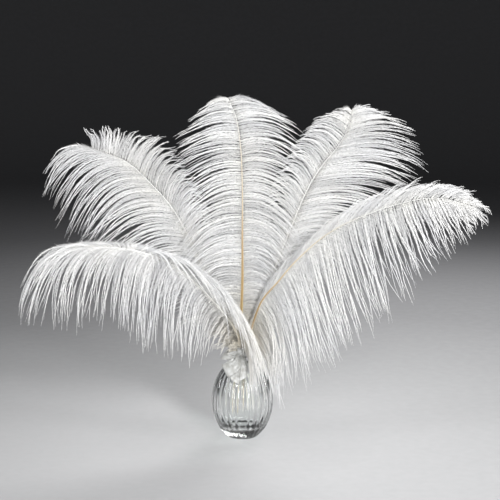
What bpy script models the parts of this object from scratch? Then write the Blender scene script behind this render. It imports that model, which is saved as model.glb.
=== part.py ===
"""White ostrich plumes, tied with a satin ribbon and standing in a small fluted glass vase.

Metres, +Z up. The origin is the middle of the vase's foot, +X is the viewer's right and the
front of the arrangement faces -Y. Each plume grew as one piece, so it is one object: a tapering
shaft, a narrow closed web on both sides of it, and long drooping locks of barbs that part from
the web at V-shaped notches.
"""
import math

import bmesh
import bpy
import numpy as np

MM = 0.001  # the lists of points below are written in millimetres

# Vase
FLUTES = 24
FLUTE_DEPTH = 0.9 * MM
# Outside, from the foot up to the lip: radius, height and how far the flutes are cut (0 to 1)
VASE_OUTSIDE = [
    (17.5, 0.0, 0.0), (20.5, 1.5, 0.2), (25.0, 6.0, 0.6), (31.2, 14.0, 1.0), (36.8, 26.0, 1.0),
    (39.6, 37.0, 1.0), (40.3, 47.0, 1.0), (39.6, 60.0, 1.0), (36.8, 73.0, 1.0), (32.0, 84.0, 0.7),
    (26.2, 91.0, 0.3), (22.6, 95.0, 0.0), (21.2, 97.0, 0.0),
]
# Inside, from the lip down to the thick floor: radius and height
VASE_INSIDE = [
    (18.8, 97.0), (18.6, 94.5), (22.4, 90.0), (28.6, 82.5), (33.4, 72.0), (36.2, 60.0),
    (37.0, 47.0), (36.0, 36.0), (31.0, 25.0), (24.0, 18.0), (15.0, 15.0),
]

# Plumes
LOCKS = 20  # locks on each side of a plume
QUILL_RADIUS = 1.8 * MM
TIP_RADIUS = 0.35 * MM
QUILL_SECTIONS = 9
WEB_SHARE = 0.2  # the barbs hold together over this share of their length
WEB_THICKNESS = 1.1 * MM
LOCK_THICKNESS = 0.7 * MM
# Sections of a lock: share of the barb's length, and width as a share of the room for it
LOCK_SECTIONS = [(0.5, 0.86), (0.78, 0.6)]
SHINGLE = 0.5 * MM  # neighbouring locks lie this far in front of and behind the vane
SWING = 7.5 * MM  # the tips of the locks sway this far in front of and behind the vane
SWING_LOCKS = 10  # locks from one forward sway to the next
# Share of the vane, and how much its locks sway: near the tie the plumes lie close together
SWING_ALONG = ([0.3, 0.6], [0.0, 1.0])
MIN_LOCK_WIDTH = 1.6 * MM

# Each plume: its quill from the cut end to the first barbs, its shaft from there to the tip, and
# guide barbs for both sides. A guide barb is the share of the vane where it roots, then how far it
# has gone from its root (x, y, z) at its bend and at its tip. Barbs between guides blend them. Lean is
# 1 where the barbs at the tip sway forwards and -1 where they sway back.
PLUMES = {
    "feather_centre": dict(
        lean=-1,
        quill=[(-8, -12, 34), (-3.5, -1.2, 98), (-1, 0, 118)],
        shaft=[(-2, 5, 144), (0, 9, 209), (0, 13, 268), (0, 19, 326), (-2, 27, 378),
               (-8, 36, 418), (-19, 46, 444)],
        left=[(0.00, (-25, -4, 10), (-50, -10, -17)),
              (0.25, (-39, -6, 13), (-78, -16, -35)),
              (0.45, (-47, -6, 6), (-86, -18, -46)),
              (0.62, (-42, -6, 7), (-86, -16, -47)),
              (0.78, (-41, -4, 9), (-94, -12, -26)),
              (0.90, (-32, -2, 9), (-80, -8, -20)),
              (1.00, (-16, 0, 4), (-39, -6, -15))],
        right=[(0.00, (22, -4, 16), (41, -10, -6)),
               (0.25, (29, -6, 13), (55, -16, -31)),
               (0.45, (36, -6, 7), (69, -18, -41)),
               (0.62, (39, -6, 9), (77, -16, -38)),
               (0.78, (41, -4, 16), (85, -12, -22)),
               (0.90, (36, -2, 15), (84, -8, -11)),
               (1.00, (24, 0, 8), (55, -6, -10))],
    ),
    "feather_upper_left": dict(
        lean=-1,
        quill=[(17, 9, 38), (0.5, 7, 98), (-5, 5, 118), (-8, 6.5, 128)],
        shaft=[(-19, 11, 150), (-46, 19, 209), (-70, 27, 261), (-93, 34, 301), (-120, 40, 331),
               (-147, 46, 356), (-172, 51, 368), (-199, 55, 374)],
        left=[(0.00, (-28, -3, 14), (-60, -8, 2)),
              (0.25, (-45, -5, 18), (-85, -12, -24)),
              (0.50, (-62, -6, 20), (-112, -18, -43)),
              (0.66, (-65, -6, 13), (-96, -20, -66)),
              (0.80, (-63, -6, 11), (-97, -20, -74)),
              (0.92, (-57, -5, 16), (-86, -16, -51)),
              (1.00, (-34, -4, 19), (-58, -12, -17))],
        right=[(0.00, (16, 0, 24), (27, 0, 12)),
               (0.25, (22, 1, 34), (34, 0, 8)),
               (0.50, (7, 2, 46), (32, 0, 28)),
               (0.66, (5, 3, 43), (37, 0, 43)),
               (0.78, (10, 3, 38), (40, 0, 42)),
               (0.84, (8, 3, 32), (30, 1, 38)),
               (0.90, (4, 2, 25), (6, 2, 36)),
               (0.95, (3, 2, 20), (-5, 3, 33)),
               (1.00, (3, 2, 20), (-18, 4, 27))],
    ),
    "feather_upper_right": dict(
        lean=-1,
        quill=[(-17, 6, 38), (-0.5, 2.5, 98), (5, 4, 118), (8, 5.5, 128)],
        shaft=[(17, 13, 150), (38, 25, 209), (63, 32, 272), (85, 37, 324), (105, 42, 356),
               (123, 46, 377), (137, 50, 400), (144, 56, 427)],
        left=[(0.00, (-18, 6, 24), (-28, 12, 8)),
              (0.25, (-21, 5, 28), (-38, 10, 1)),
              (0.50, (-19, 3, 37), (-44, 5, 15)),
              (0.66, (-16, 3, 40), (-42, 0, 21)),
              (0.80, (-21, 3, 33), (-48, 0, 18)),
              (0.92, (-23, 2, 21), (-47, 2, 12)),
              (1.00, (-4, 2, 5), (-12, 4, 3))],
        right=[(0.00, (25, -3, 25), (46, -8, 9)),
               (0.25, (34, -4, 25), (73, -12, -7)),
               (0.50, (58, -5, 22), (107, -15, -5)),
               (0.66, (78, -5, 19), (130, -15, -8)),
               (0.80, (62, -4, 18), (121, -12, -7)),
               (0.92, (39, -3, 23), (86, -8, 7)),
               (1.00, (8, -2, 7), (28, -4, 6))],
    ),
    "feather_lower_left": dict(
        lean=1,
        quill=[(12, -10, 38), (-0.8, -7, 98), (-2, -8, 118)],
        shaft=[(-3.5, -10.5, 129), (-7, -13, 142), (-20, -19, 164), (-38, -27, 188),
               (-58, -36, 211), (-79, -46, 232), (-106, -57, 250), (-138, -67, 262),
               (-172, -76, 267), (-205, -83, 267)],
        left=[(0.00, (-12, -8, 3), (-22, -17, -10)),
              (0.20, (-18, -10, -3), (-24, -16, -63)),
              (0.40, (-21, -12, -4), (-24, -22, -101)),
              (0.60, (-21, -12, -6), (-22, -26, -121)),
              (0.76, (-27, -10, -5), (-30, -24, -96)),
              (0.88, (-47, -12, 1), (-58, -20, -94)),
              (1.00, (-67, -14, 3), (-82, -14, -87))],
        right=[(0.00, (14, -16, 12), (17, -40, -64)),
               (0.08, (24, -18, 14), (28, -40, -86)),
               (0.20, (39, -14, 23), (62, -38, -109)),
               (0.40, (38, -14, 25), (73, -36, -80)),
               (0.60, (33, -8, 17), (67, -26, -53)),
               (0.76, (2, 4, 17), (-14, 8, -17)),
               (0.88, (-34, -7, 22), (-77, -6, -45)),
               (1.00, (-53, -9, 16), (-78, -8, -58))],
    ),
    "feather_lower_right": dict(
        lean=1,
        quill=[(-8, 2, 40), (1.2, -2.6, 98), (5.5, -5, 118)],
        shaft=[(9, -9, 137), (24, -15, 183), (46, -22, 212), (70, -30, 242), (107, -42, 277),
               (152, -55, 303), (206, -68, 323), (246, -77, 329), (288, -84, 319)],
        left=[(0.00, (3, 2, 30), (20, 4, 47)),
              (0.20, (12, 2, 33), (35, 6, 42)),
              (0.40, (15, 2, 32), (38, 8, 38)),
              (0.60, (20, 2, 26), (49, 8, 42)),
              (0.76, (20, 0, 25), (47, 6, 27)),
              (0.88, (18, 0, 17), (40, 4, 6)),
              (1.00, (12, 0, 4), (25, 2, -11))],
        right=[(0.00, (24, -14, -6), (34, -26, -86)),
               (0.20, (27, -12, -24), (36, -24, -126)),
               (0.40, (12, -12, -46), (42, -26, -142)),
               (0.60, (9, -10, -48), (40, -24, -131)),
               (0.76, (11, -8, -35), (35, -18, -83)),
               (0.88, (12, -6, -21), (31, -14, -54)),
               (1.00, (12, -3, -8), (17, -6, -18))],
    ),
}

# Ribbon: the ties round the quills, a knot in front, one loop and two ends
RIBBON_THICKNESS = 0.9 * MM
BAND_MIDDLE = (0.0, -1.0)
BAND_BOTTOM = (10.3, 108.0)  # inner radius and height
BAND_TOP = (12.6, 124.0)
BAND_SIDES = 28
KNOT_MIDDLE = (-2, -14.0, 115.5)
KNOT_SIZE = (11, 6, 14)
# Each strip: the direction of its width, then points along its middle and its width at those points
RIBBON_STRIPS = {
    "loop": ((0, 0, 1), [((-4, -14.0, 117), 9), ((-11, -17.5, 118), 11), ((-19, -17.5, 117), 13),
                         ((-25, -13.5, 115.5), 13), ((-25, -9.5, 115), 12), ((-18, -10.0, 114.5), 11),
                         ((-10, -12.6, 114.5), 9), ((-4, -13.6, 114.5), 8)]),
    "left_end": ((1, 0, 0), [((-4, -15.0, 113), 9), ((-7, -20.5, 111.5), 13), ((-11, -26.0, 106), 17),
                             ((-13, -30.0, 98), 18), ((-14, -32.0, 90), 16)]),
    "right_end": ((1, 0, 0), [((0, -15.0, 113), 7), ((2, -21.0, 110.5), 9), ((3, -26.5, 104.5), 11),
                              ((3.5, -31.0, 96), 12), ((3, -34.0, 86), 11)]),
}


def clear_scene():
    for old in list(bpy.data.objects):
        bpy.data.objects.remove(old, do_unlink=True)


def material(name, colour, roughness, transmission=0.0):
    made = bpy.data.materials.new(name)
    made.use_nodes = True
    surface = made.node_tree.nodes["Principled BSDF"]
    surface.inputs["Base Color"].default_value = (*colour, 1.0)
    surface.inputs["Roughness"].default_value = roughness
    surface.inputs["Metallic"].default_value = 0.0
    surface.inputs["Transmission Weight"].default_value = transmission
    return made


def add_object(name, bm, finish):
    """Turns a closed bmesh into a named object whose faces point outwards."""
    bmesh.ops.recalc_face_normals(bm, faces=bm.faces)
    mesh = bpy.data.meshes.new(name)
    bm.to_mesh(mesh)
    bm.free()
    mesh.materials.append(finish)
    made = bpy.data.objects.new(name, mesh)
    bpy.context.collection.objects.link(made)
    return made


def add_ring(bm, points):
    return [bm.verts.new(p) for p in points]


def bridge(bm, ring_a, ring_b):
    """A closed wall of four-sided faces between two rings of the same number of vertices."""
    count = len(ring_a)
    for i in range(count):
        j = (i + 1) % count
        bm.faces.new((ring_a[i], ring_a[j], ring_b[j], ring_b[i]))


def add_sheet(bm, front, back):
    """Front and back panels of a thin sheet, both split along the same diagonal so that they never cross."""
    for a, b, c, d in (front, back):
        bm.faces.new((a, b, c))
        bm.faces.new((a, c, d))


def through(points, places):
    """Smooth curve through evenly numbered points (Catmull-Rom), at places from 0 to 1."""
    points = np.asarray(points, float)
    last = len(points) - 1
    x = np.clip(np.asarray(places, float), 0.0, 1.0) * last
    i = np.minimum(x.astype(int), last - 1)
    f = (x - i)[:, None]
    padded = np.concatenate(
        [2 * points[:1] - points[1:2], points, 2 * points[-1:] - points[-2:-1]]
    )
    a, b, c, d = padded[i], padded[i + 1], padded[i + 2], padded[i + 3]
    return 0.5 * (
        2 * b + (c - a) * f + (2 * a - 5 * b + 4 * c - d) * f**2 + (3 * b - a - 3 * c + d) * f**3
    )


def unit(vectors):
    return vectors / np.linalg.norm(vectors, axis=-1, keepdims=True)


def shaft_stations(quill, shaft):
    """Points along the whole shaft, evenly spaced in the quill and then in the vane."""
    points = np.array(quill + shaft, float) * MM
    fine = np.linspace(0.0, 1.0, 600)
    curve = through(points, fine)
    length = np.concatenate([[0.0], np.cumsum(np.linalg.norm(np.diff(curve, axis=0), axis=1))])
    first_barb = np.interp(len(quill) / (len(points) - 1), fine, length)
    lengths = np.concatenate([
        np.linspace(0.0, first_barb, QUILL_SECTIONS, endpoint=False),
        np.linspace(first_barb, length[-1], LOCKS + 1),
    ])
    return through(points, np.interp(lengths, length, fine))


def squared_up(front, direction):
    """The front direction, made square to the shaft or barb."""
    return unit(front - direction * np.sum(front * direction, axis=-1, keepdims=True))


def shaft_frames(stations):
    """Front and right directions of the shaft: front is -Y squared up to it."""
    along = unit(np.gradient(stations, axis=0))
    front = squared_up(np.array([0.0, -1.0, 0.0]), along)
    return front, np.cross(along, front)


def blended_guides(guides, shares):
    """Bend and tip offsets at each share, blended between the guide barbs."""
    known = [guide[0] for guide in guides]
    rows = np.array([guide[1] + guide[2] for guide in guides], float) * MM
    blended = np.stack([np.interp(shares, known, column) for column in rows.T], axis=-1)
    return blended[:, :3], blended[:, 3:]


def barb_points(roots, bends, tips, share):
    """Points at one share of every barb's length: a quadratic curve from root past bend to tip."""
    return roots + 2 * share * (1 - share) * bends + share**2 * tips


def barb_directions(bends, tips, share):
    return unit(2 * (1 - 2 * share) * bends + 2 * share * tips)


def add_vane(bm, rings, stations, fronts, guides, side, lean):
    """One side of the vane: a web along the shaft, and locks that part from its edge.

    Side is 1 on the shaft's right and -1 on its left. A lock keeps the order in which its two edges
    leave the web. Where its barbs turn back over the web, it is folded, and its front faces backwards.
    The locks sway forwards and back along the vane, by the share of their length squared. Lean is 1
    where those at the plume's tip sway forwards and -1 where they sway back.
    """
    inner_front, inner_back = (0, 5) if side > 0 else (2, 3)
    shares = np.linspace(0.0, 1.0, LOCKS + 1)
    bends, tips = blended_guides(guides, shares)
    normals = squared_up(fronts, barb_directions(bends, tips, WEB_SHARE))
    edge = barb_points(stations, bends, tips, WEB_SHARE)
    edge_front = add_ring(bm, edge + normals * WEB_THICKNESS / 2)
    edge_back = add_ring(bm, edge - normals * WEB_THICKNESS / 2)
    for i in range(LOCKS):
        near, far = rings[i], rings[i + 1]
        add_sheet(bm, (near[inner_front], far[inner_front], edge_front[i + 1], edge_front[i]),
                  (near[inner_back], far[inner_back], edge_back[i + 1], edge_back[i]))
    for i in (0, LOCKS):
        bm.faces.new((rings[i][inner_front], edge_front[i], edge_back[i], rings[i][inner_back]))

    middles = (shares[:-1] + shares[1:]) / 2
    roots = (stations[:-1] + stations[1:]) / 2
    front = unit(fronts[:-1] + fronts[1:])
    mid_bends, mid_tips = blended_guides(guides, middles)
    wave = np.cos(2 * math.pi * (LOCKS - 1 - np.arange(LOCKS)) / SWING_LOCKS)
    sway = (lean * SWING * wave * np.interp(middles, *SWING_ALONG))[:, None]
    sections = []
    order = None
    for step, (share, width_share) in enumerate(LOCK_SECTIONS, start=1):
        direction = barb_directions(mid_bends, mid_tips, share)
        normal = squared_up(front, direction)
        across = np.cross(normal, direction)
        if order is None:
            order = np.sign(np.sum(across * (edge[1:] - edge[:-1]), axis=-1, keepdims=True))
        edges = barb_points(stations, bends, tips, share)
        room = np.abs(np.sum(across * (edges[1:] - edges[:-1]), axis=-1, keepdims=True))
        half = across * order * np.maximum(room * width_share, MIN_LOCK_WIDTH) / 2
        thick = normal * order * side * LOCK_THICKNESS / 2
        shingle = np.where(np.arange(LOCKS) % 2, SHINGLE, -SHINGLE)[:, None] * step
        middle = barb_points(roots, mid_bends, mid_tips, share) + normal * (shingle + sway * share**2)
        sections.append([middle - half + thick, middle + half + thick,
                         middle + half - thick, middle - half - thick])
    normal = squared_up(front, barb_directions(mid_bends, mid_tips, 1.0))
    ends = barb_points(roots, mid_bends, mid_tips, 1.0) + normal * sway
    for i in range(LOCKS):
        ring = [edge_front[i], edge_front[i + 1], edge_back[i + 1], edge_back[i]]
        for section in sections:
            following = add_ring(bm, [corner[i] for corner in section])
            add_sheet(bm, (ring[0], ring[1], following[1], following[0]),
                      (ring[3], ring[2], following[2], following[3]))
            add_sheet(bm, (ring[1], ring[2], following[2], following[1]),
                      (ring[0], ring[3], following[3], following[0]))
            ring = following
        tip = bm.verts.new(ends[i])
        for k in range(4):
            bm.faces.new((ring[k], ring[(k + 1) % 4], tip))


def make_plume(name, design, finish):
    stations = shaft_stations(design["quill"], design["shaft"])
    front, right = shaft_frames(stations)
    first = QUILL_SECTIONS
    share = np.clip((np.arange(len(stations)) - first) / LOCKS, 0.0, 1.0)
    radius = QUILL_RADIUS + (TIP_RADIUS - QUILL_RADIUS) * share
    bm = bmesh.new()
    rings = []
    for i, station in enumerate(stations):
        angles = np.radians([30, 90, 150, 210, 270, 330])[:, None]
        ring = station + radius[i] * (np.cos(angles) * right[i] + np.sin(angles) * front[i])
        rings.append(add_ring(bm, ring))
    for i in range(first):
        bridge(bm, rings[i], rings[i + 1])
    for near, far in zip(rings[first:-1], rings[first + 1:]):
        for a, b in ((0, 1), (1, 2), (3, 4), (4, 5)):
            bm.faces.new((near[a], near[b], far[b], far[a]))
    bm.faces.new(rings[0])
    bm.faces.new(rings[-1])
    add_vane(bm, rings[first:], stations[first:], front[first:], design["left"], -1, design["lean"])
    add_vane(bm, rings[first:], stations[first:], front[first:], design["right"], 1, design["lean"])
    return add_object(name, bm, finish)


def make_vase(finish):
    """A turned egg with a small mouth; its outside is cut with upright hollow flutes."""
    sides = 2 * FLUTES
    turn = 2 * math.pi * np.arange(sides) / sides
    hollow = np.arange(sides) % 2  # every second column lies in the middle of a flute
    bm = bmesh.new()
    rings = []
    for radius, height, cut in VASE_OUTSIDE:
        r = radius * MM - FLUTE_DEPTH * cut * hollow
        ring = np.stack([r * np.cos(turn), r * np.sin(turn), np.full(sides, height * MM)], axis=1)
        rings.append(add_ring(bm, ring))
    for radius, height in VASE_INSIDE:
        r = radius * MM
        ring = np.stack([r * np.cos(turn), r * np.sin(turn), np.full(sides, height * MM)], axis=1)
        rings.append(add_ring(bm, ring))
    for lower, upper in zip(rings, rings[1:]):
        bridge(bm, lower, upper)
    bm.faces.new(rings[0])
    bm.faces.new(rings[-1])
    made = add_object("vase", bm, finish)
    made.data.shade_smooth()
    return made


def strip_mesh(width_axis, stations):
    """A closed flat strip along smooth points, its width square to its run."""
    points = np.array([s[0] for s in stations], float) * MM
    widths = np.array([s[1] for s in stations], float) * MM
    places = np.linspace(0.0, 1.0, 2 * len(points) - 1)
    middle = through(points, places)
    width = np.interp(places, np.linspace(0.0, 1.0, len(points)), widths)
    along = unit(np.gradient(middle, axis=0))
    across = squared_up(np.array(width_axis, float), along)
    face = np.cross(along, across)
    bm = bmesh.new()
    previous = None
    for m, a, n, w in zip(middle, across, face, width):
        half, thick = a * w / 2, n * RIBBON_THICKNESS / 2
        ring = add_ring(bm, [m - half - thick, m + half - thick, m + half + thick, m - half + thick])
        if previous is None:
            bm.faces.new(ring)
        else:
            bridge(bm, previous, ring)
        previous = ring
    bm.faces.new(previous)
    return bm


def band_mesh():
    """The turns of ribbon round the quills: a short cone with a clear inside."""
    turn = 2 * math.pi * np.arange(BAND_SIDES) / BAND_SIDES
    bm = bmesh.new()
    rings = []
    for radius, height, out in (
        (*BAND_BOTTOM, 0.0), (*BAND_BOTTOM, 1.0), (*BAND_TOP, 1.0), (*BAND_TOP, 0.0)
    ):
        r = radius * MM + out * RIBBON_THICKNESS
        ring = np.stack([BAND_MIDDLE[0] * MM + r * np.cos(turn), BAND_MIDDLE[1] * MM + r * np.sin(turn),
                         np.full(BAND_SIDES, height * MM)], axis=1)
        rings.append(add_ring(bm, ring))
    for a, b in zip(rings, rings[1:] + rings[:1]):
        bridge(bm, a, b)
    return bm


def knot_mesh():
    bm = bmesh.new()
    bmesh.ops.create_icosphere(bm, subdivisions=2, radius=0.5)
    bmesh.ops.scale(bm, vec=[s * MM for s in KNOT_SIZE], verts=bm.verts)
    bmesh.ops.translate(bm, vec=[c * MM for c in KNOT_MIDDLE], verts=bm.verts)
    return bm


def make_ribbon(finish):
    """The band, with the knot and the strips joined to it by unions."""
    ribbon = add_object("ribbon", band_mesh(), finish)
    parts = [("knot", knot_mesh())]
    parts += [(name, strip_mesh(*strip)) for name, strip in RIBBON_STRIPS.items()]
    for name, bm in parts:
        piece = add_object(name, bm, finish)
        piece.hide_render = True
        piece.display_type = "WIRE"
        union = ribbon.modifiers.new(name, "BOOLEAN")
        union.operation = "UNION"
        union.solver = "EXACT"
        union.object = piece
    return ribbon


def main():
    clear_scene()
    glass = material("clear_glass", (0.95, 0.97, 0.97), 0.03, transmission=1.0)
    plume = material("white_plume", (0.88, 0.88, 0.86), 0.75)
    satin = material("white_satin", (0.86, 0.86, 0.83), 0.35)
    make_vase(glass)
    make_ribbon(satin)
    for name, design in PLUMES.items():
        make_plume(name, design, plume)


main()
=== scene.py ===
# %% [markdown]
# # White ostrich plumes in a small fluted glass vase
# Five plumes are tied with a satin ribbon and stand in a clear glass vase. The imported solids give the
# place and size of every piece. This lesson dresses them: each plume gets its hundreds of fine barbs,
# the vase its smooth cut flutes, and the ribbon its folds. Everything is in metres with +Z up.

# %% Load the frame and keep the size of the solids
import math
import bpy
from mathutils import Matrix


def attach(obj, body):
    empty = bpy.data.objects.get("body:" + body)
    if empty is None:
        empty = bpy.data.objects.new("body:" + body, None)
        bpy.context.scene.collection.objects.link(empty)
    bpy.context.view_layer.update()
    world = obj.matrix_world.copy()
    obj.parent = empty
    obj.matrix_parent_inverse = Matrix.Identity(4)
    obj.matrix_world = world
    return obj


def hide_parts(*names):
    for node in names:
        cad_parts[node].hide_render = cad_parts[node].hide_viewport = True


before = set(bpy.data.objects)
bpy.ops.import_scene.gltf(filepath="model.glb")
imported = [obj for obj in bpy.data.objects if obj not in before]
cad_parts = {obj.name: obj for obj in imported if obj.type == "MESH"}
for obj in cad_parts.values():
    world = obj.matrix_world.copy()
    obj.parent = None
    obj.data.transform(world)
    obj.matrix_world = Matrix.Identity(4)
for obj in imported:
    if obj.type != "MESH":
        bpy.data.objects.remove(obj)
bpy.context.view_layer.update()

from types import SimpleNamespace

import bpy
import numpy as np
from mathutils import Vector

MM = 0.001

# %% [markdown]
# ## The camera
# The photograph is taken from far away with a long lens, a little above the middle of the plumes. A long
# lens keeps the vase's sides upright and the plumes in front no larger than those behind.

# %% The camera
IMAGE_SIDE = 500  # pixels
METRES_PER_PIXEL = 0.0013  # at the vase
SENSOR_WIDTH = 36.0  # millimetres
CAMERA_DISTANCE = 2.1
CAMERA_ELEVATION = math.radians(10)
LOOK_AT = Vector((0.010, 0.0, 0.250))

camera_data = bpy.data.cameras.new("camera")
camera_data.sensor_width = SENSOR_WIDTH
camera_data.lens = SENSOR_WIDTH * CAMERA_DISTANCE / (METRES_PER_PIXEL * IMAGE_SIDE)
camera = bpy.data.objects.new("camera", camera_data)
bpy.context.collection.objects.link(camera)
backward = Vector((0.0, -math.cos(CAMERA_ELEVATION), math.sin(CAMERA_ELEVATION)))
camera.location = LOOK_AT + backward * CAMERA_DISTANCE
camera.rotation_euler = backward.to_track_quat("Z", "Y").to_euler()
bpy.context.scene.camera = camera
print("lens", round(camera_data.lens, 1), "mm")

# %% [markdown]
# ## Helpers for surfaces made of arrays
# Every new piece is a set of points worked out with numpy and turned into a mesh in one go. A smooth
# curve runs through a few chosen points, and a grid of points becomes a skin of four-sided faces.

# %% Helpers: curves from a few points
CURVE_STEPS = 800  # steps in which a curve's length is measured


def unit(v):
    """Each vector divided by its length."""
    return v / np.linalg.norm(v, axis=-1, keepdims=True)


def through(points, places):
    """Catmull-Rom curve through evenly numbered points, at places from 0 to 1."""
    points = np.asarray(points, float)
    last = len(points) - 1
    x = np.clip(np.asarray(places, float), 0.0, 1.0) * last
    i = np.minimum(x.astype(int), last - 1)
    f = (x - i)[:, None]
    p = np.concatenate([2 * points[:1] - points[1:2], points, 2 * points[-1:] - points[-2:-1]])
    a, b, c, d = p[i], p[i + 1], p[i + 2], p[i + 3]
    cubic = (2 * a - 5 * b + 4 * c - d) * f**2 + (3 * b - a - 3 * c + d) * f**3
    return 0.5 * (2 * b + (c - a) * f + cubic)


def even_places(points, shares, start=0.0):
    """Places on the curve that lie at these shares of its length, counted from the place start."""
    fine = np.linspace(start, 1.0, CURVE_STEPS)
    steps = np.linalg.norm(np.diff(through(points, fine), axis=0), axis=1)
    length = np.concatenate([[0.0], np.cumsum(steps)])
    return np.interp(np.asarray(shares) * length[-1], length, fine)


def blend_rows(shares, known, rows):
    """Rows of numbers blended in a straight line between the known shares."""
    rows = np.asarray(rows, float)
    return np.stack([np.interp(shares, known, rows[:, k]) for k in range(rows.shape[1])], axis=-1)


# %% Helpers: meshes from arrays
def grid_faces(rows, columns):
    """Four-sided faces of a grid of points numbered row by row, whose last column meets the first."""
    r = np.arange(rows - 1)[:, None]
    c = np.arange(columns)[None, :]
    n = (c + 1) % columns
    quad = [r * columns + c, r * columns + n, (r + 1) * columns + n, (r + 1) * columns + c]
    return np.stack([np.broadcast_to(q, (rows - 1, columns)) for q in quad], axis=-1).reshape(-1, 4)


def fan(first, columns, centre, turn_over=False):
    """Triangles (a, a + 1, centre) from a ring of points numbered from first, or the other way round."""
    a = np.arange(columns)
    faces = np.stack([first + a, first + (a + 1) % columns, np.full_like(a, centre)], axis=-1)
    return faces[:, [1, 0, 2]] if turn_over else faces


def end_fans(rows, columns):
    """Fans that close the first and the last row of a grid with two points that follow the grid's own."""
    count = rows * columns
    first = fan(0, columns, count, turn_over=True)
    return np.concatenate([first, fan(count - columns, columns, count + 1)])


def mesh_object(name, points, quads, triangles, material, uv=None):
    """A smooth mesh from whole arrays; uv has one row for each point."""
    points = np.ascontiguousarray(points, np.float32).reshape(-1, 3)
    quads = np.asarray(quads, np.int32).reshape(-1, 4)
    triangles = np.asarray(triangles, np.int32).reshape(-1, 3)
    corners = np.concatenate([quads.ravel(), triangles.ravel()])
    sizes = np.concatenate([np.full(len(quads), 4), np.full(len(triangles), 3)]).astype(np.int32)
    starts = np.concatenate([[0], np.cumsum(sizes)[:-1]]).astype(np.int32)
    mesh = bpy.data.meshes.new(name)
    mesh.vertices.add(len(points))
    mesh.vertices.foreach_set("co", points.ravel())
    mesh.loops.add(len(corners))
    mesh.loops.foreach_set("vertex_index", corners)
    mesh.polygons.add(len(sizes))
    mesh.polygons.foreach_set("loop_start", starts)
    mesh.polygons.foreach_set("use_smooth", np.ones(len(sizes), bool))
    if uv is not None:
        layer = mesh.uv_layers.new(name="UVMap")
        layer.data.foreach_set("uv", np.asarray(uv, np.float32).reshape(-1, 2)[corners].ravel())
    mesh.update(calc_edges=True)
    mesh.validate()
    mesh.materials.append(material)
    made = bpy.data.objects.new(name, mesh)
    bpy.context.collection.objects.link(made)
    print(name, len(quads) * 2 + len(triangles), "triangles")
    return made


# %% [markdown]
# ## Effects that several materials share
# Real surfaces are never one even colour. Two small node groups give that life to every material here:
# soft patches, a slow noise that lifts and lowers a value, and fine lines, the fibres of horn and the
# threads of satin. A third one fades with the distance from a point, for the creamy down near the tie and
# for the painted pool of light on the floor. A group is built once and placed in each material with its
# own numbers.

# %% Helpers: nodes
WHITE = (1.0, 1.0, 1.0)
BLACK = (0.0, 0.0, 0.0)


def new_material(name):
    """An empty node material, its nodes and links, and its Principled shader."""
    made = bpy.data.materials.new(name)
    made.use_nodes = True
    print("material", name)
    nodes, links = made.node_tree.nodes, made.node_tree.links
    return made, nodes, links, nodes["Principled BSDF"]


def ramp(nodes, links, value, stops):
    """The colour that a value has on a ramp with the given positions and colours."""
    node = nodes.new("ShaderNodeValToRGB")
    elements = node.color_ramp.elements
    while len(elements) < len(stops):
        elements.new(0.5)
    for element, (position, colour) in zip(elements, stops):
        element.position = position
        element.color = (*colour, 1.0)
    links.new(value, node.inputs[0])
    return node.outputs["Color"]


def multiplied(nodes, links, a, b):
    """The colour a times the colour b."""
    node = nodes.new("ShaderNodeMix")
    node.data_type = "RGBA"
    node.blend_type = "MULTIPLY"
    node.inputs["Factor"].default_value = 1.0
    links.new(a, node.inputs["A"])
    links.new(b, node.inputs["B"])
    return node.outputs["Result"]


def new_group(name, inputs, output):
    """A shader node group with named inputs (name, kind, value) and one value output."""
    group = bpy.data.node_groups.new(name, "ShaderNodeTree")
    for label, kind, value in inputs:
        socket = group.interface.new_socket(name=label, in_out="INPUT", socket_type=kind)
        if value is not None:
            socket.default_value = value
    group.interface.new_socket(name=output, in_out="OUTPUT", socket_type="NodeSocketFloat")
    print("node group", name)
    return group, group.nodes.new("NodeGroupInput"), group.nodes.new("NodeGroupOutput")


# %% The three shared groups
soft_patches, given, result = new_group("soft_patches", [
    ("Vector", "NodeSocketVector", None), ("Scale", "NodeSocketFloat", 40.0),
    ("Low", "NodeSocketFloat", 0.9), ("High", "NodeSocketFloat", 1.0)], "Value")
noise = soft_patches.nodes.new("ShaderNodeTexNoise")
noise.inputs["Detail"].default_value = 3.0
spread = soft_patches.nodes.new("ShaderNodeMapRange")
spread.inputs["From Min"].default_value = 0.32
spread.inputs["From Max"].default_value = 0.68
soft_patches.links.new(given.outputs["Vector"], noise.inputs["Vector"])
soft_patches.links.new(given.outputs["Scale"], noise.inputs["Scale"])
soft_patches.links.new(noise.outputs["Fac"], spread.inputs["Value"])
soft_patches.links.new(given.outputs["Low"], spread.inputs["To Min"])
soft_patches.links.new(given.outputs["High"], spread.inputs["To Max"])
soft_patches.links.new(spread.outputs["Result"], result.inputs["Value"])

fine_lines, given, result = new_group("fine_lines", [
    ("Vector", "NodeSocketVector", None), ("Scale", "NodeSocketFloat", 20.0),
    ("Unevenness", "NodeSocketFloat", 1.0)], "Height")
wave = fine_lines.nodes.new("ShaderNodeTexWave")
wave.bands_direction = "Y"
wave.inputs["Detail"].default_value = 2.0
fine_lines.links.new(given.outputs["Vector"], wave.inputs["Vector"])
fine_lines.links.new(given.outputs["Scale"], wave.inputs["Scale"])
fine_lines.links.new(given.outputs["Unevenness"], wave.inputs["Distortion"])
fine_lines.links.new(wave.outputs["Fac"], result.inputs["Height"])

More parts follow.
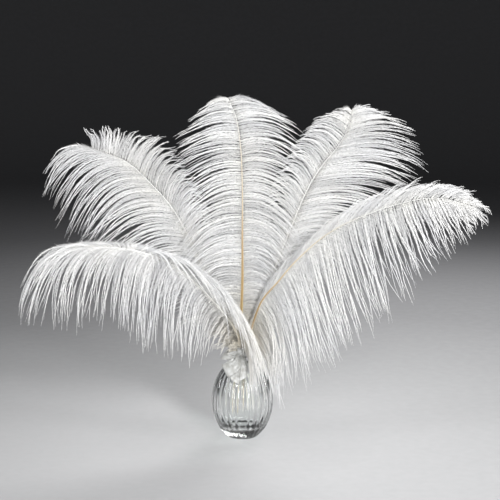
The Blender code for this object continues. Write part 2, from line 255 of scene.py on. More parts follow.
distance_fade, given, result = new_group("distance_fade", [
    ("Vector", "NodeSocketVector", None), ("Centre", "NodeSocketVector", None),
    ("Near", "NodeSocketFloat", 0.0), ("Far", "NodeSocketFloat", 1.0)], "Share")
distance = distance_fade.nodes.new("ShaderNodeVectorMath")
distance.operation = "DISTANCE"
share = distance_fade.nodes.new("ShaderNodeMapRange")
distance_fade.links.new(given.outputs["Vector"], distance.inputs[0])
distance_fade.links.new(given.outputs["Centre"], distance.inputs[1])
distance_fade.links.new(distance.outputs["Value"], share.inputs["Value"])
distance_fade.links.new(given.outputs["Near"], share.inputs["From Min"])
distance_fade.links.new(given.outputs["Far"], share.inputs["From Max"])
distance_fade.links.new(share.outputs["Result"], result.inputs["Share"])


# %% Helpers: the shared groups, bumps and coordinates placed in a material
def placed(nodes, links, group, vector, **values):
    """A shared group in a material, with coordinates linked to it and its own values set on it."""
    node = nodes.new("ShaderNodeGroup")
    node.node_tree = group
    links.new(vector, node.inputs["Vector"])
    for label, value in values.items():
        node.inputs[label].default_value = value
    return node.outputs[0]


def patches(nodes, links, vector, scale, low, high):
    """Soft patches that lie between a low and a high value."""
    return placed(nodes, links, soft_patches, vector, Scale=scale, Low=low, High=high)


def lines(nodes, links, vector, scale, unevenness):
    """The height of fine lines."""
    return placed(nodes, links, fine_lines, vector, Scale=scale, Unevenness=unevenness)


def fade(nodes, links, vector, centre, near, far):
    """0 up to the distance near from the centre, 1 from the distance far on, and evenly between."""
    return placed(nodes, links, distance_fade, vector, Centre=centre, Near=near, Far=far)


def bump(nodes, links, surface, height, distance, strength):
    """Feeds a height to the shader's normal."""
    node = nodes.new("ShaderNodeBump")
    node.inputs["Distance"].default_value = distance
    node.inputs["Strength"].default_value = strength
    links.new(height, node.inputs["Height"])
    links.new(node.outputs["Normal"], surface.inputs["Normal"])


def uv_map(nodes, links):
    """The piece's own UV map, whole and as its two separate numbers."""
    uv = nodes.new("ShaderNodeUVMap")
    uv.uv_map = "UVMap"
    split = nodes.new("ShaderNodeSeparateXYZ")
    links.new(uv.outputs["UV"], split.inputs[0])
    return uv.outputs["UV"], split.outputs["X"], split.outputs["Y"]


def own_place(nodes):
    """Object coordinates: the point's own place in metres."""
    return nodes.new("ShaderNodeTexCoord").outputs["Object"]


# %% [markdown]
# ## Plume materials
# A white plume is keratin with air in it: matt, bright, with a faint sheen along its fibres. The barbs'
# UV map holds the share of the barb's length and a random number for each barb, so the material can
# make roots creamier than tips and give single barbs and tufts a greyer painted shade, which stands in
# for the shadows between barbs. Down close to the tie is creamier still, which follows from the distance
# to the neck. The shaft is horn: golden with a dark groove where it is bare, and nearly white towards the
# tip and on the plumes whose shafts are covered with down. The groove is partly the horn's own darker
# tone and partly painted shade, since the shaft is round. The colours could come from a picture of a
# feather, but ramps along the barb stay sharp at any distance.

# %% The barbs' finish
NECK = (0.0, -0.008, 0.135)
CREAMY_REACH, WHITE_REACH = 0.015, 0.075  # metres from the neck: creamy up to here, white from here on
barb_finish, nodes, links, surface = new_material("plume_barbs")
_, along, painted_shade = uv_map(nodes, links)
here = own_place(nodes)
along_colour = ramp(nodes, links, along, [
    (0.0, (0.80, 0.795, 0.77)), (0.08, (0.88, 0.88, 0.875)), (0.3, (0.92, 0.922, 0.925)),
    (1.0, (0.95, 0.952, 0.955)),
])
# Painted shade: random barbs and tufts are made greyer, standing in for the shadows between barbs
barb_painted_shade = ramp(nodes, links, painted_shade, [
    (0.0, (0.60, 0.605, 0.62)), (0.45, (0.83, 0.83, 0.84)), (0.8, WHITE), (1.0, WHITE),
])
colour = multiplied(nodes, links, along_colour, barb_painted_shade)
slow = patches(nodes, links, here, 14.0, 0.0, 1.0)
cream = ramp(nodes, links, slow, [(0.0, (1.0, 0.99, 0.965)), (1.0, WHITE)])
colour = multiplied(nodes, links, colour, cream)
from_neck = fade(nodes, links, here, NECK, CREAMY_REACH, WHITE_REACH)
neck_cream = ramp(nodes, links, from_neck, [
    (0.0, (0.96, 0.91, 0.80)), (0.5, (1.0, 0.985, 0.95)), (1.0, WHITE),
])
colour = multiplied(nodes, links, colour, neck_cream)
links.new(colour, surface.inputs["Base Color"])
links.new(patches(nodes, links, here, 60.0, 0.5, 0.7), surface.inputs["Roughness"])
surface.inputs["Sheen Weight"].default_value = 0.3
surface.inputs["Sheen Roughness"].default_value = 0.35


# %% A shaft's finish
QUILL_CREAM = (0.90, 0.89, 0.845)
FADE = 0.14  # share of the shaft over which the groove fades out


def shaft_material(name, along_stops, groove_tone_and_shade, bare):
    """Horn: a colour along the shaft above its creamy quill, darker in the groove down its front.

    The groove is partly the horn's own darker tone and partly painted shade, as the shaft is round.
    It shows up to the share that is bare.
    """
    made, nodes, links, surface = new_material(name)
    uv, along, turn = uv_map(nodes, links)
    quill_stops = [(0.0, QUILL_CREAM), (0.2, QUILL_CREAM)]
    along_colour = ramp(nodes, links, along, quill_stops + along_stops)
    # The groove: the horn's darker tone with painted shade, darkest in its middle, on a round shaft
    lip, deepest_groove_shade = (1.0, 0.99, 0.97), tuple(g * 0.8 for g in groove_tone_and_shade)
    across = ramp(nodes, links, turn, [
        (0.0, WHITE), (0.12, lip), (0.19, groove_tone_and_shade), (0.25, deepest_groove_shade), (0.31, groove_tone_and_shade), (0.38, lip),
        (1.0, WHITE),
    ])
    covered = ramp(nodes, links, along, [(0.0, BLACK), (bare, BLACK), (bare + FADE, WHITE)])
    # Painted groove shade, faded out where the shaft is covered
    grooved = nodes.new("ShaderNodeMix")
    grooved.data_type = "RGBA"
    links.new(covered, grooved.inputs["Factor"])
    links.new(across, grooved.inputs["A"])
    grooved.inputs["B"].default_value = (*WHITE, 1.0)
    colour = multiplied(nodes, links, along_colour, grooved.outputs["Result"])
    stretch = nodes.new("ShaderNodeMapping")
    stretch.inputs["Scale"].default_value = (3.0, 1.0, 1.0)
    links.new(uv, stretch.inputs["Vector"])
    fibres = lines(nodes, links, stretch.outputs["Vector"], 5.0, 3.0)
    mottle = ramp(nodes, links, fibres, [(0.0, (0.86, 0.86, 0.86)), (1.0, WHITE)])
    colour = multiplied(nodes, links, colour, mottle)
    links.new(colour, surface.inputs["Base Color"])
    links.new(patches(nodes, links, own_place(nodes), 120.0, 0.32, 0.5), surface.inputs["Roughness"])
    bump(nodes, links, surface, fibres, 0.00008, 0.4)
    return made


# %% The shafts' finishes
golden_shaft = shaft_material("golden_shaft", [
    (0.27, (0.64, 0.52, 0.30)), (0.42, (0.58, 0.46, 0.26)), (0.56, (0.58, 0.49, 0.36)),
    (0.66, (0.70, 0.67, 0.61)), (1.0, (0.72, 0.72, 0.71)),
], groove_tone_and_shade=(0.58, 0.48, 0.34), bare=0.8)
cream_shaft = shaft_material("cream_shaft", [
    (0.27, (0.50, 0.38, 0.21)), (0.38, (0.62, 0.52, 0.35)), (0.50, (0.74, 0.69, 0.58)),
    (0.65, (0.76, 0.76, 0.74)), (1.0, (0.76, 0.76, 0.75)),
], groove_tone_and_shade=(0.66, 0.57, 0.46), bare=0.6)
white_shaft = shaft_material("white_shaft", [
    (0.28, (0.66, 0.59, 0.46)), (0.36, (0.80, 0.79, 0.76)), (1.0, (0.82, 0.82, 0.82)),
], groove_tone_and_shade=(0.92, 0.91, 0.89), bare=0.6)
# The finish of each shaft, and its thickness beside the thickest one's
SHAFT_LOOKS = {
    "feather_centre": (golden_shaft, 1.0),
    "feather_upper_left": (white_shaft, 0.45),
    "feather_upper_right": (white_shaft, 0.45),
    "feather_lower_left": (white_shaft, 0.8),
    "feather_lower_right": (cream_shaft, 0.62),
}

# %% [markdown]
# ## The plumes' design
# Each plume is one shaft and two sides of barbs. The shaft is a smooth curve. A few guide barbs on each
# side say where barbs go: how far they have gone from their root at their bend and at their tip. These
# are the same dimensions as the solids have, so the fine barbs lie where the solid locks are.

# %% The plumes' shafts and guide barbs, in millimetres
# Each guide barb has its share of the vane, then its bend and its tip as seen from its root
PLUMES = {
    "feather_centre": dict(
        quill=[(-8, -12, 34), (-3.5, -1.2, 98), (-1, 0, 118)],
        shaft=[(-2, 5, 144), (0, 9, 209), (0, 13, 268), (0, 19, 326), (-2, 27, 378),
               (-8, 36, 418), (-19, 46, 444)],
        left=[(0.00, (-25, -4, 10), (-50, -10, -17)),
              (0.25, (-39, -6, 13), (-78, -16, -35)),
              (0.45, (-47, -6, 6), (-86, -18, -46)),
              (0.62, (-42, -6, 7), (-86, -16, -47)),
              (0.78, (-41, -4, 9), (-94, -12, -26)),
              (0.90, (-32, -2, 9), (-80, -8, -20)),
              (1.00, (-16, 0, 4), (-39, -6, -15))],
        right=[(0.00, (22, -4, 16), (41, -10, -6)),
               (0.25, (29, -6, 13), (55, -16, -31)),
               (0.45, (36, -6, 7), (69, -18, -41)),
               (0.62, (39, -6, 9), (77, -16, -38)),
               (0.78, (41, -4, 16), (85, -12, -22)),
               (0.90, (36, -2, 15), (84, -8, -11)),
               (1.00, (24, 0, 8), (55, -6, -10))],
    ),
    "feather_upper_left": dict(
        quill=[(17, 9, 38), (0.5, 7, 98), (-5, 5, 118), (-8, 6.5, 128)],
        shaft=[(-19, 11, 150), (-46, 19, 209), (-70, 27, 261), (-93, 34, 301), (-120, 40, 331),
               (-147, 46, 356), (-172, 51, 368), (-199, 55, 374)],
        left=[(0.00, (-28, -3, 14), (-60, -8, 2)),
              (0.25, (-45, -5, 18), (-85, -12, -24)),
              (0.50, (-62, -6, 20), (-112, -18, -43)),
              (0.66, (-65, -6, 13), (-96, -20, -66)),
              (0.80, (-63, -6, 11), (-97, -20, -74)),
              (0.92, (-57, -5, 16), (-86, -16, -51)),
              (1.00, (-34, -4, 19), (-58, -12, -17))],
        right=[(0.00, (16, 0, 24), (27, 0, 12)),
               (0.25, (22, 1, 34), (34, 0, 8)),
               (0.50, (7, 2, 46), (32, 0, 28)),
               (0.66, (5, 3, 43), (37, 0, 43)),
               (0.78, (10, 3, 38), (40, 0, 42)),
               (0.84, (8, 3, 32), (30, 1, 38)),
               (0.90, (4, 2, 25), (6, 2, 36)),
               (0.95, (3, 2, 20), (-5, 3, 33)),
               (1.00, (3, 2, 20), (-18, 4, 27))],
    ),
    "feather_upper_right": dict(
        quill=[(-17, 6, 38), (-0.5, 2.5, 98), (5, 4, 118), (8, 5.5, 128)],
        shaft=[(17, 13, 150), (38, 25, 209), (63, 32, 272), (85, 37, 324), (105, 42, 356),
               (123, 46, 377), (137, 50, 400), (144, 56, 427)],
        left=[(0.00, (-18, 6, 24), (-28, 12, 8)),
              (0.25, (-21, 5, 28), (-38, 10, 1)),
              (0.50, (-19, 3, 37), (-44, 5, 15)),
              (0.66, (-16, 3, 40), (-42, 0, 21)),
              (0.80, (-21, 3, 33), (-48, 0, 18)),
              (0.92, (-23, 2, 21), (-47, 2, 12)),
              (1.00, (-4, 2, 5), (-12, 4, 3))],
        right=[(0.00, (25, -3, 25), (46, -8, 9)),
               (0.25, (34, -4, 25), (73, -12, -7)),
               (0.50, (58, -5, 22), (107, -15, -5)),
               (0.66, (78, -5, 19), (130, -15, -8)),
               (0.80, (62, -4, 18), (121, -12, -7)),
               (0.92, (39, -3, 23), (86, -8, 7)),
               (1.00, (8, -2, 7), (28, -4, 6))],
    ),
    "feather_lower_left": dict(
        quill=[(12, -10, 38), (-0.8, -7, 98), (-2, -8, 118)],
        shaft=[(-3.5, -10.5, 129), (-7, -13, 142), (-20, -19, 164), (-38, -27, 188),
               (-58, -36, 211), (-79, -46, 232), (-106, -57, 250), (-138, -67, 262),
               (-172, -76, 267), (-205, -83, 267)],
        left=[(0.00, (-12, -8, 3), (-22, -17, -10)),
              (0.20, (-18, -10, -3), (-24, -16, -63)),
              (0.40, (-21, -12, -4), (-24, -22, -101)),
              (0.60, (-21, -12, -6), (-22, -26, -121)),
              (0.76, (-27, -10, -5), (-30, -24, -96)),
              (0.88, (-47, -12, 1), (-58, -20, -94)),
              (1.00, (-67, -14, 3), (-82, -14, -87))],
        right=[(0.00, (14, -16, 12), (17, -40, -64)),
               (0.08, (24, -18, 14), (28, -40, -86)),
               (0.20, (39, -14, 23), (62, -38, -109)),
               (0.40, (38, -14, 25), (73, -36, -80)),
               (0.60, (33, -8, 17), (67, -26, -53)),
               (0.76, (2, 4, 17), (-14, 8, -17)),
               (0.88, (-34, -7, 22), (-77, -6, -45)),
               (1.00, (-53, -9, 16), (-78, -8, -58))],
    ),
    "feather_lower_right": dict(
        quill=[(-8, 2, 40), (1.2, -2.6, 98), (5.5, -5, 118)],
        shaft=[(9, -9, 137), (24, -15, 183), (46, -22, 212), (70, -30, 242), (107, -42, 277),
               (152, -55, 303), (206, -68, 323), (246, -77, 329), (288, -84, 319)],
        left=[(0.00, (3, 2, 30), (20, 4, 47)),
              (0.20, (12, 2, 33), (35, 6, 42)),
              (0.40, (15, 2, 32), (38, 8, 38)),
              (0.60, (20, 2, 26), (49, 8, 42)),
              (0.76, (20, 0, 25), (47, 6, 27)),
              (0.88, (18, 0, 17), (40, 4, 6)),
              (1.00, (12, 0, 4), (25, 2, -11))],
        right=[(0.00, (24, -14, -6), (34, -26, -86)),
               (0.20, (27, -12, -24), (36, -24, -126)),
               (0.40, (12, -12, -46), (42, -26, -142)),
               (0.60, (9, -10, -48), (40, -24, -131)),
               (0.76, (11, -8, -35), (35, -18, -83)),
               (0.88, (12, -6, -21), (31, -14, -54)),
               (1.00, (12, -3, -8), (17, -6, -18))],
    ),
}
VIEWER = np.array([0.0, -1.0, 0.0])  # the front of every vane faces this way

# %% [markdown]
# ## Shafts
# The shaft of a plume is a horny tube, round and hollow at the quill and thin as a hair at the tip. It
# could be a bevelled curve, but a grid of points carried along the curve lets it carry a UV map, which
# the material uses to pass from pale quill to tan middle and white tip.

# %% The shafts
# Share of the vane, then the radius in millimetres
SHAFT_RADIUS = ([0.0, 0.02, 0.30, 0.60, 1.0], [1.8, 2.1, 1.35, 0.8, 0.3])
SHAFT_THINS = 0.06  # the share of the vane in which a shaft comes to its own plume's thickness
QUILL_POINT = 0.3  # radius of the closed end beside that of the quill
SHAFT_ROWS = 160
SHAFT_SIDES = 12


def squared_up(front, direction):
    """The front direction with its share along the barb or shaft taken out."""
    return unit(front - direction * np.sum(front * direction, axis=-1, keepdims=True))


def shaft_points(design):
    """The shaft's chosen points in metres, and the place on its curve where the quill ends."""
    points = np.array(design["quill"] + design["shaft"], float) * MM
    return points, len(design["quill"]) / (len(points) - 1)


def make_shaft(name, design):
    """Skin = middle + r (right cos t + front sin t), with r blended between the chosen radii."""
    points, vane_start = shaft_points(design)
    share = np.linspace(0.0, 1.0, SHAFT_ROWS)
    places = even_places(points, share)
    middle = through(points, places)
    along = unit(np.gradient(middle, axis=0))
    front = squared_up(VIEWER, along)
    right = np.cross(along, front)
    vane = np.clip((places - vane_start) / (1.0 - vane_start), 0.0, 1.0)
    finish, thickness = SHAFT_LOOKS[name]
    radius = np.interp(vane, *SHAFT_RADIUS) * MM * np.interp(vane, [0.0, SHAFT_THINS], [1.0, thickness])
    radius[0] = radius[1] * QUILL_POINT
    turn = np.linspace(0.0, 2 * math.pi, SHAFT_SIDES, endpoint=False)[None, :, None]
    ring = np.cos(turn) * right[:, None] + np.sin(turn) * front[:, None]
    skin = middle[:, None] + radius[:, None, None] * ring
    ends = np.stack([middle[0], middle[-1]])
    around = turn.ravel() / (2 * math.pi)
    uv = np.stack([np.repeat(share, SHAFT_SIDES), np.tile(around, SHAFT_ROWS)], axis=-1)
    uv = np.concatenate([uv, [[0.0, 0.5], [1.0, 0.5]]])
    made = mesh_object(
        name + "_shaft", np.concatenate([skin.reshape(-1, 3), ends]),
        grid_faces(SHAFT_ROWS, SHAFT_SIDES), end_fans(SHAFT_ROWS, SHAFT_SIDES), finish, uv,
    )
    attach(made, "root")
    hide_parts(name)


for name, design in PLUMES.items():
    make_shaft(name, design)

# %% [markdown]
# ## Barbs
# An ostrich plume has no hooks to lock its barbs into a flat blade, so each barb hangs loose with a soft
# fringe of long barbules on both sides. Hair curves would be the quick way, but they are lost in an
# export. So each barb is a thin flattened strand with a needle for each barbule, all worked out as
# arrays. Two or three neighbouring barbs lie together as a tuft, which gives the fine bright lines across
# the vane, and one to a few tufts close up into a wisp towards their tips, which leaves the open fringe.
# Wisps also part a little to the front and back, which the solids show as a slow sway of their locks.

# %% How many barbs there are, and how they lie
BARBS_PER_TUFT = 2.5
LOOSE = 0.30  # the share of barbs that belong to no tuft
LOOSE_FREEDOM = 0.85  # how little such a barb is drawn to its neighbours
NEW_WISP = 0.5  # the chance that a tuft starts a new wisp
STRAY = 0.12  # the share of tufts that lie across their neighbours
STRAY_TIMES = 2.6  # how much further out of line such a tuft is
DOWN = 0.13  # the share of barbs that are short down between the tie and the vane
DOWN_DEPTH = 0.95  # how far below the vane the down begins, in steps between the shaft's points
STRAND_ROWS = 12
# The least and the most of their full length; a barb's usual length stands in the middle
WISP_LENGTHS, TUFT_LENGTHS, BARB_LENGTHS = (0.96, 1.01), (0.94, 1.03), (0.88, 1.0, 1.03)
DOWN_LENGTHS = (0.45, 0.75)
LOOSE_SHORTER = (0.02, 0.3)  # the part that a loose barb is shorter by
# Of each side of each plume: how many barbs it has, and how they are crowded, above 1 towards the base
# and below 1 towards the tip. Of each plume: how untidily its barbs lie, and how wavy they are in mm
HABITS = {
    "feather_centre": dict(left=(264, 1.05), right=(264, 1.05), untidy=0.45, wave=1.1),
    "feather_upper_left": dict(left=(286, 1.0), right=(242, 1.05), untidy=0.7, wave=1.3),
    "feather_upper_right": dict(left=(242, 1.05), right=(286, 1.0), untidy=0.5, wave=1.0),
    "feather_lower_left": dict(left=(270, 0.55), right=(258, 1.5), untidy=0.8, wave=1.5),
    "feather_lower_right": dict(left=(192, 1.05), right=(336, 1.25), untidy=0.65, wave=1.9),
}
print("barbs:", {name: habit["left"][0] + habit["right"][0] for name, habit in HABITS.items()})


# %% Where barbs grow, and how they group
def smooth(x):
    """3 x x - 2 x x x, which goes gently from 0 to 1 and stays there."""
    x = np.clip(x, 0.0, 1.0)
    return x * x * (3 - 2 * x)


def shares_along_shaft(count, crowding, rng):
    """Shares from -DOWN to 0 for the down, then y ** crowding, with y the rest's own share."""
    x = (np.arange(count) + 0.5 + rng.uniform(-0.3, 0.3, count)) / count
    return np.where(x < DOWN, x - DOWN, np.maximum((x - DOWN) / (1 - DOWN), 0.0) ** crowding)


def barb_groups(barbs, crowding, rng):
    """Each barb's share and tuft, each tuft's share and wisp, and each wisp's share and size."""
    tufts = round(barbs / BARBS_PER_TUFT)
    barb_share = shares_along_shaft(barbs, crowding, rng)
    tuft_share = shares_along_shaft(tufts, crowding, rng)
    wisp = np.cumsum(rng.random(tufts) < NEW_WISP)
    size = np.bincount(wisp)
    return SimpleNamespace(
        barbs=barbs, tufts=tufts, wisps=len(size), tuft=np.arange(barbs) * tufts // barbs, wisp=wisp,
        barb_share=barb_share, tuft_share=tuft_share, size=np.maximum(size, 1),
        wisp_share=np.bincount(wisp, tuft_share) / np.maximum(size, 1),
    )


def lengths(group, rng):
    """The part of its full length that each barb has, and 1 for a loose barb or 0 for one in its tuft."""
    reach = rng.uniform(*WISP_LENGTHS, group.wisps)[group.wisp] * rng.uniform(*TUFT_LENGTHS, group.tufts)
    loose = (rng.random(group.barbs) < LOOSE).astype(float)
    shorter = 1 - loose * rng.uniform(*LOOSE_SHORTER, group.barbs)
    reach = reach[group.tuft] * rng.triangular(*BARB_LENGTHS, group.barbs) * shorter
    return reach * np.where(group.barb_share < 0, rng.uniform(*DOWN_LENGTHS, group.barbs), 1.0), loose


# %% How barbs bend and gather
WISP_CLOSES = 0.3  # the most that a wisp's tips come together, from 0 to 1
WISP_FULL_SIZE = 2.5  # tufts, above which a wisp closes less
SCATTER = 0.4  # typical distance of a tip from its place, millimetres


def barb_lines(points, start, guides, share, s):
    """Root + 2 s (1 - s) bend + s s tip for barbs at these shares, blended from the guide barbs."""
    rows = np.array([guide[1] + guide[2] for guide in guides], float) * MM
    below = np.minimum(share, 0.0) / DOWN * DOWN_DEPTH / (len(points) - 1)
    root = through(points, even_places(points, np.maximum(share, 0.0), start) + below)[:, None]
    both = blend_rows(share, [guide[0] for guide in guides], rows)[:, None]
    return root + 2 * s * (1 - s) * both[..., :3] + s**2 * both[..., 3:]


def gathered(points, start, guides, group, s, held, rng):
    """Barbs drawn half way to their tuft's line near the shaft and up to 0.92 of the way further out.

    Towards their tips they also come together on their wisp's line.
    """
    path = barb_lines(points, start, guides, group.barb_share, s)
    close = (0.5 * smooth(s / 0.15) + 0.42 * smooth((s - 0.25) / 0.4)) * held
    path = path * (1 - close) + barb_lines(points, start, guides, group.tuft_share[group.tuft], s) * close
    gather = rng.uniform(0.0, WISP_CLOSES, group.wisps) * np.minimum(WISP_FULL_SIZE / group.size, 1.0)
    gather = gather[group.wisp][group.tuft][:, None, None] * smooth((s - 0.45) / 0.6) * held
    wisp_share = group.wisp_share[group.wisp][group.tuft]
    path = path * (1 - gather) + barb_lines(points, start, guides, wisp_share, s) * gather
    return path + rng.normal(0.0, SCATTER, (group.barbs, 1, 3)) * MM * smooth(s / 0.8)


# %% How barbs turn, wave and settle
WISP_TURN, TUFT_TURN, BARB_TURN = 1.5, 1.3, 0.5  # typical turns about the root, degrees
LOOSE_TURNS = 5  # how many times further a loose barb turns
WAVE_CYCLES = (1.2, 2.2)
WAVE_DEPTH = 2.2  # millimetres, to the front and back
WISP_DEPTH, TUFT_DEPTH, MOST_DEPTH = 3.2, 2.0, 8.0  # millimetres at the tips
LOOSE_DEPTH = (2.0, 5.0)  # millimetres behind the others
FULL_DEPTH_LENGTH = 20 * MM  # shorter barbs keep closer to the vane
DROOP = 0.07  # the most that a level barb's tip sinks, beside its length
CURL, UNTIDY_CURL = 0.01, 0.05  # typical curl of a tip beside the length, and what untidiness adds
CURL_WAYS = [1.0, 0.4, 1.0]  # tips curl less to the front and back
# A barb's painted shade is partly its tuft's and partly its own
TUFT_PAINTED_SHADE = 0.6  # how much of a barb's tint is its tuft's; the rest is its own


def turned(path, angle):
    """Paths turned about their roots, seen by the viewer: v cos(a) + (viewer x v) sin(a)."""
    v = path - path[:, :1]
    return path[:, :1] + (v * np.cos(angle) + np.cross(VIEWER, v) * np.sin(angle))


def waved(path, s, wave, rng):
    """Sine waves that grow from the root, sideways by wave and in depth by WAVE_DEPTH, in millimetres."""
    phase = rng.uniform(0.0, 2 * math.pi, (len(path), 1, 3))
    cycles = rng.uniform(*WAVE_CYCLES, (len(path), 1, 1))
    waves = np.sin(2 * math.pi * cycles * s + phase) - np.sin(phase)
    return path + waves * s * np.array([wave, WAVE_DEPTH, wave]) * MM


def settled(path, s, group, loose, stray, untidy, rng):
    """Wisps part in depth by s ** 1.3, level barbs droop by s ** 3, and tufts curl at the tips by s ** 4.

    Loose barbs lie a little further back, where they fill the gaps.
    """
    length = np.linalg.norm(path[:, -1] - path[:, 0], axis=-1)[:, None]
    level = np.sqrt(np.maximum(1 - (np.abs(path[:, -1, 2] - path[:, 0, 2])[:, None] / length) ** 2, 0.0))
    depth = rng.normal(0.0, WISP_DEPTH, group.wisps)[group.wisp]
    depth = depth + rng.normal(0.0, TUFT_DEPTH, group.tufts) * stray
    depth = np.clip(depth, -MOST_DEPTH, MOST_DEPTH)[group.tuft][:, None] * s[..., 0] ** 1.3
    depth += (loose * rng.uniform(*LOOSE_DEPTH, group.barbs))[:, None] * smooth(s[..., 0] / 0.3)
    path[..., 1] += depth * np.minimum(length / FULL_DEPTH_LENGTH, 1.0) * MM
    path[..., 2] -= rng.uniform(0.0, DROOP, (group.barbs, 1)) * level * length * s[..., 0] ** 3
    curl = rng.normal(0.0, UNTIDY_CURL * untidy + CURL, (group.tufts, 3)) * CURL_WAYS
    return path + curl[group.tuft][:, None] * length[..., None] * s**4


# %% The barbs of one side
def barb_paths(points, start, guides, barbs, crowding, habit, rng):
    """Middle lines of a side's barbs, as an array of barb by row by xyz, with their shares and painted
    shades.
    """
    untidy = habit["untidy"]
    group = barb_groups(barbs, crowding, rng)
    reach, loose = lengths(group, rng)
    held = (1 - LOOSE_FREEDOM * loose)[:, None, None]
    s = np.linspace(0.0, 1.0, STRAND_ROWS)[None, :, None] * reach[:, None, None]
    path = gathered(points, start, guides, group, s, held, rng)

    stray = np.where(rng.random(group.tufts) < STRAY * untidy, STRAY_TIMES, 1.0)
    angle = rng.normal(0.0, WISP_TURN, group.wisps)[group.wisp]
    angle = untidy * (angle + rng.normal(0.0, TUFT_TURN, group.tufts) * stray)
    own_angle = rng.normal(0.0, BARB_TURN * untidy, barbs) * (1 + (LOOSE_TURNS - 1) * loose)
    path = turned(path, np.radians(angle[group.tuft] + own_angle)[:, None, None] * smooth(s / 0.7))
    path = waved(path, s, habit["wave"], rng)
    path = settled(path, s, group, loose, stray, untidy, rng)
    # Each barb's painted shade, partly its tuft's: greyer barbs stand in for the shadows between barbs
    painted_shade = TUFT_PAINTED_SHADE * rng.random(group.tufts)[group.tuft] + (1 - TUFT_PAINTED_SHADE) * rng.random(barbs)
    return path, s[..., 0], painted_shade


# %% Strands
STRAND_WIDTH = ([0.0, 0.3, 0.85, 1.0], [0.26, 0.32, 0.28, 0.06])  # share of the barb, half width in mm
STRAND_FLATNESS = 0.45  # thickness beside the width


def strand_skin(path, direction, front):
    """Three-sided flattened tube round each path: middle + w (across cos t + flatness front sin t)."""
    barbs = len(path)
    across = np.cross(direction, front)
    half = np.interp(np.linspace(0.0, 1.0, STRAND_ROWS), *STRAND_WIDTH)[None, :, None, None] * MM
    turn = np.radians([90, 210, 330])[:, None]
    ring = np.cos(turn) * across[:, :, None] + STRAND_FLATNESS * np.sin(turn) * front[:, :, None]
    points = path[:, :, None] + half * ring
    size = STRAND_ROWS * 3
    first = (np.arange(barbs) * size)[:, None, None]
    caps = np.array([[0, 2, 1], [size - 3, size - 2, size - 1]])
    quads = (grid_faces(STRAND_ROWS, 3)[None] + first).reshape(-1, 4)
    return points.reshape(-1, 3), quads, (caps[None] + first).reshape(-1, 3)


# %% Barbules
BARBULES = 74  # on each barb
BARBULE_LENGTH = ([0.0, 0.15, 0.5, 0.8, 1.0], [4.0, 9.0, 6.2, 3.6, 2.2])  # share of the barb, millimetres
BARBULE_LEAN = (12.0, 38.0)  # degrees away from the barb
BARBULE_TILT = 0.5  # typical turn to the front or back, radians
BARBULE_UNEVEN = (0.6, 1.2)  # the shortest and the longest beside the usual one
BARBULE_HALF_WIDTH = ([0.0, 0.4, 1.0], [0.27, 0.22, 0.13])  # share of the barb, millimetres
BARBULE_THICKNESS = 0.12  # millimetres


def barbule_skin(path, direction, front, first, rng):
    """A four-faced needle for each barbule, whose tip lies at root + length (d cos lean + out sin lean).

    Out is the side direction of the barb, turned a little to the front or back. Barbules take turns
    between the left and the right side.
    """
    barbs = len(path)
    share = (np.arange(BARBULES) + 0.5 + rng.uniform(-0.45, 0.45, (barbs, BARBULES))) / BARBULES
    x = np.clip(share, 0.0, 0.999) * (STRAND_ROWS - 1)
    i = x.astype(int)
    f = (x - i)[..., None]
    b = np.arange(barbs)[:, None]
    root, d, n = (a[b, i] * (1 - f) + a[b, i + 1] * f for a in (path, direction, front))
    d, n = unit(d), unit(n)
    side = np.where(np.arange(BARBULES) % 2, 1.0, -1.0)[None, :, None]
    tilt = rng.normal(0.0, BARBULE_TILT, (barbs, BARBULES, 1))
    lean = np.radians(rng.uniform(*BARBULE_LEAN, (barbs, BARBULES, 1)) * (1 - 0.5 * share[..., None]))
    out = side * np.cross(d, n) * np.cos(tilt) + n * np.sin(tilt)
    way = np.cos(lean) * d + np.sin(lean) * out
    wide = unit(np.cross(way, n))
    length = np.interp(share, *BARBULE_LENGTH)[..., None]
    length = length * rng.uniform(*BARBULE_UNEVEN, (barbs, BARBULES, 1))
    half = np.interp(share, *BARBULE_HALF_WIDTH)[..., None] * MM
    needle = np.stack([
        root + wide * half,
        root - wide * half,
        root + np.cross(wide, way) * BARBULE_THICKNESS * MM,
        root + way * length * MM,
    ], axis=2)
    faces = np.array([[0, 2, 1], [0, 1, 3], [1, 2, 3], [2, 0, 3]])
    each = first + np.arange(barbs * BARBULES)[:, None, None] * 4
    return needle.reshape(-1, 3), (faces[None] + each).reshape(-1, 3), share


# %% One mesh of strands and barbules for each plume
FIRST_SEED = 11


def share_and_painted_shade(share, painted_shade, corners):
    """The UV row (share, painted shade) repeated for each corner of a ring or a needle."""
    u = np.repeat(share[:, :, None], corners, axis=2)
    v = np.broadcast_to(painted_shade[:, None, None], u.shape)
    return np.stack([u, v], axis=-1).reshape(-1, 2)


def make_barbs(name, design, seed):
    """Both sides' barbs in one mesh; the UV map holds the share along the barb and the barb's painted
    shade.
    """
    rng = np.random.default_rng(seed)
    points, start = shaft_points(design)
    habit = HABITS[name]
    sides = [
        barb_paths(points, start, design[side], *habit[side], habit, rng) for side in ("left", "right")
    ]
    path, share, painted_shade = (np.concatenate(values) for values in zip(*sides))
    direction = unit(np.gradient(path, axis=1))
    front = squared_up(VIEWER, direction)
    strands, quads, caps = strand_skin(path, direction, front)
    needles, needle_faces, root_share = barbule_skin(path, direction, front, len(strands), rng)
    uv = [share_and_painted_shade(share, painted_shade, 3), share_and_painted_shade(root_share * share[:, -1:], painted_shade, 4)]
    made = mesh_object(
        name + "_barbs", np.concatenate([strands, needles]), quads, np.concatenate([caps, needle_faces]),
        barb_finish, np.concatenate(uv),
    )
    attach(made, "root")
    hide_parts(name)


for number, (name, design) in enumerate(PLUMES.items()):
    make_barbs(name, design, seed=FIRST_SEED + number)
